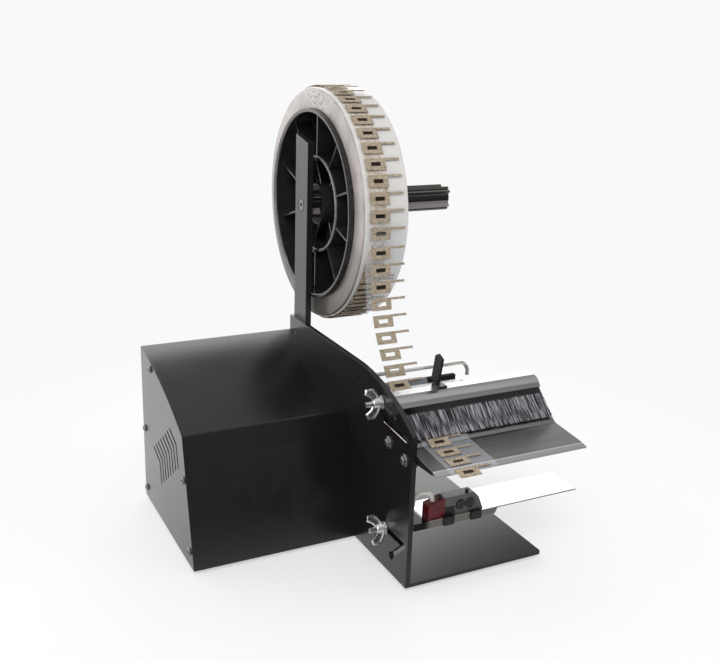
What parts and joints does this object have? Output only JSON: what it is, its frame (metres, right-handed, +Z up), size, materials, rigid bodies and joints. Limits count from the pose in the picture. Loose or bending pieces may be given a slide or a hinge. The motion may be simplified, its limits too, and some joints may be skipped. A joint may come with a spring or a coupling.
{
  "type": "label dispenser machine",
  "caption": "Desk label dispenser: reel of die-cut labels on an arm, hold-down brush over a peel plate, sliding label sensor and motor housing.",
  "frame": {"origin": "middle of the footprint, on the surface that the feet stand on", "axes": "+Z up, +X towards the label side, away from the motor housing, +Y to the rear"},
  "size_m": [0.4368, 0.5242, 0.5323],
  "materials": {
    "black_anodised_plate": "satin black",
    "black_painted_sheet": "satin black",
    "rubber_black": "matte",
    "panel_dark": "satin",
    "zinc_screw": "zinc plated",
    "black_screw": "black oxide",
    "bright_steel": "ground",
    "moulded_black": "moulded",
    "bronze_bush": "turned",
    "film_roll": "wound film",
    "film": "clear film",
    "cork_label": "die-cut",
    "peel_steel": "satin",
    "brushed_aluminium": "extruded",
    "felt_black": "felt",
    "chrome_rod": "polished",
    "bristle": "nylon bristle",
    "polished_sheet": "polished",
    "sensor_grey": "moulded",
    "sensor_black": "moulded",
    "sensor_red": "moulded",
    "lead_grey": "vinyl",
    "drive_rubber": "ground",
    "belt_rubber": "ribbed",
    "board_green": "circuit board",
    "motor_metal": "plated",
    "steel_bracket": "zinc plated",
    "switch_plastic": "moulded"
  },
  "bodies": {
    "root": {"center_plate": "black_anodised_plate", "base_plate": "black_anodised_plate", "rubber_feet": "rubber_black", "housing_cover": "black_painted_sheet", "housing_end_plate": "black_painted_sheet", "housing_floor": "black_painted_sheet", "housing_rear_panel": "black_painted_sheet", "name_panel": "panel_dark", "tie_bars": "steel_bracket", "button_screws": "black_screw", "small_screws": "zinc_screw", "plate_washers": "zinc_screw", "reel_arm": "black_anodised_plate", "arm_screws": "black_screw", "spindle_screws": "black_screw", "reel_spindle": "bright_steel", "liner_web": "film", "web_labels": "cork_label", "peel_plate": "peel_steel", "entry_table": "brushed_aluminium", "entry_strip": "felt_black", "guide_rod": "chrome_rod", "lead_grommet": "rubber_black", "sensor_lead_rear": "lead_grey", "drive_bearings": "bright_steel", "drive_belt": "belt_rubber", "pivot_shaft": "bright_steel", "motor_bracket": "steel_bracket", "gear_motor": "motor_metal", "control_board": "board_green", "power_switch": "switch_plastic", "power_inlet": "switch_plastic"},
    "reel": {"reel_shaft": "moulded_black", "spindle_bushes": "bronze_bush", "reel_hub": "moulded_black", "label_roll": "film_roll", "roll_labels": "cork_label"},
    "brush": {"brush_holder": "brushed_aluminium", "brush_bristles": "bristle", "brush_stud": "zinc_screw"},
    "brush_nut": {"brush_wing_nut": "zinc_screw"},
    "edge_guide": {"edge_guide": "sensor_black"},
    "sensor_bar": {"sensor_bar": "polished_sheet", "sensor_stud": "zinc_screw", "lead_clip": "sensor_black", "sensor_lead_front": "lead_grey"},
    "sensor_nut": {"sensor_wing_nut": "zinc_screw"},
    "sensor_head": {"sensor_head": "sensor_grey", "sensor_block": "sensor_black", "sensor_cap": "sensor_red"},
    "dial_left": {"sensor_dial_left": "sensor_grey"},
    "dial_right": {"sensor_dial_right": "sensor_grey"},
    "drive_roller": {"drive_shaft": "bright_steel", "drive_sleeve": "drive_rubber", "drive_pulley": "motor_metal"},
    "motor_pulley": {"motor_pulley": "motor_metal"},
    "pinch_arm": {"pinch_arm": "steel_bracket"},
    "pinch_roller": {"pinch_roller": "drive_rubber"},
    "rocker": {"power_rocker": "switch_plastic"}
  },
  "joints": [
    {"name": "reel_spin", "type": "hinge", "parent": "root", "child": "reel", "pos_m": [0.03938, 0.11195, 0.3823], "axis": [1, 0, 0], "continuous": true},
    {"name": "drive_spin", "type": "hinge", "parent": "root", "child": "drive_roller", "pos_m": [0.03938, -0.02005, 0.122], "axis": [1, 0, 0], "continuous": true},
    {"name": "motor_pulley_spin", "type": "hinge", "parent": "root", "child": "motor_pulley", "pos_m": [-0.04662, 0.05195, 0.122], "axis": [1, 0, 0], "continuous": true},
    {"name": "pinch_arm_swing", "type": "hinge", "parent": "root", "child": "pinch_arm", "pos_m": [0.03938, 0.04253, 0.14258], "axis": [1, 0, 0], "range_deg": [-25, 0]},
    {"name": "pinch_roller_spin", "type": "hinge", "parent": "pinch_arm", "child": "pinch_roller", "pos_m": [0.03938, 0.00052, 0.14258], "axis": [1, 0, 0], "continuous": true},
    {"name": "brush_tilt", "type": "hinge", "parent": "root", "child": "brush", "pos_m": [-0.01063, -0.13705, 0.2015], "axis": [1, 0, 0], "range_deg": [-35, 0]},
    {"name": "brush_nut_turn", "type": "hinge", "parent": "brush", "child": "brush_nut", "pos_m": [-0.01663, -0.13705, 0.2015], "axis": [1, 0, 0], "range_deg": [0, 360]},
    {"name": "edge_guide_slide", "type": "slide", "parent": "brush", "child": "edge_guide", "axis": [1, 0, 0], "range_m": [-0.05, 0.1]},
    {"name": "sensor_bar_slide", "type": "slide", "parent": "root", "child": "sensor_bar", "axis": [0, -1, 0], "range_m": [0, 0.045], "deforming": ["sensor_lead_rear"]},
    {"name": "sensor_nut_turn", "type": "hinge", "parent": "sensor_bar", "child": "sensor_nut", "pos_m": [-0.01663, -0.15705, 0.054], "axis": [1, 0, 0], "range_deg": [0, 360]},
    {"name": "sensor_head_slide", "type": "slide", "parent": "sensor_bar", "child": "sensor_head", "axis": [1, 0, 0], "range_m": [-0.006, 0.09], "deforming": ["sensor_lead_front"]},
    {"name": "power_rocker_tilt", "type": "hinge", "parent": "root", "child": "rocker", "pos_m": [-0.16062, 0.12595, 0.054], "axis": [1, 0, 0], "range_deg": [-9, 9]},
    {"name": "dial_left_turn", "type": "hinge", "parent": "sensor_head", "child": "dial_left", "pos_m": [0.05668, -0.20855, 0.0948], "axis": [0, -1, 0], "range_deg": [-135, 135]},
    {"name": "dial_right_turn", "type": "hinge", "parent": "sensor_head", "child": "dial_right", "pos_m": [0.06928, -0.20855, 0.0948], "axis": [0, -1, 0], "range_deg": [-135, 135]}
  ],
  "couplings": [
    {"joint": "motor_pulley_spin", "follows": "drive_spin", "ratio": 1.614},
    {"joint": "pinch_roller_spin", "follows": "drive_spin", "ratio": -1.5454}
  ]
}
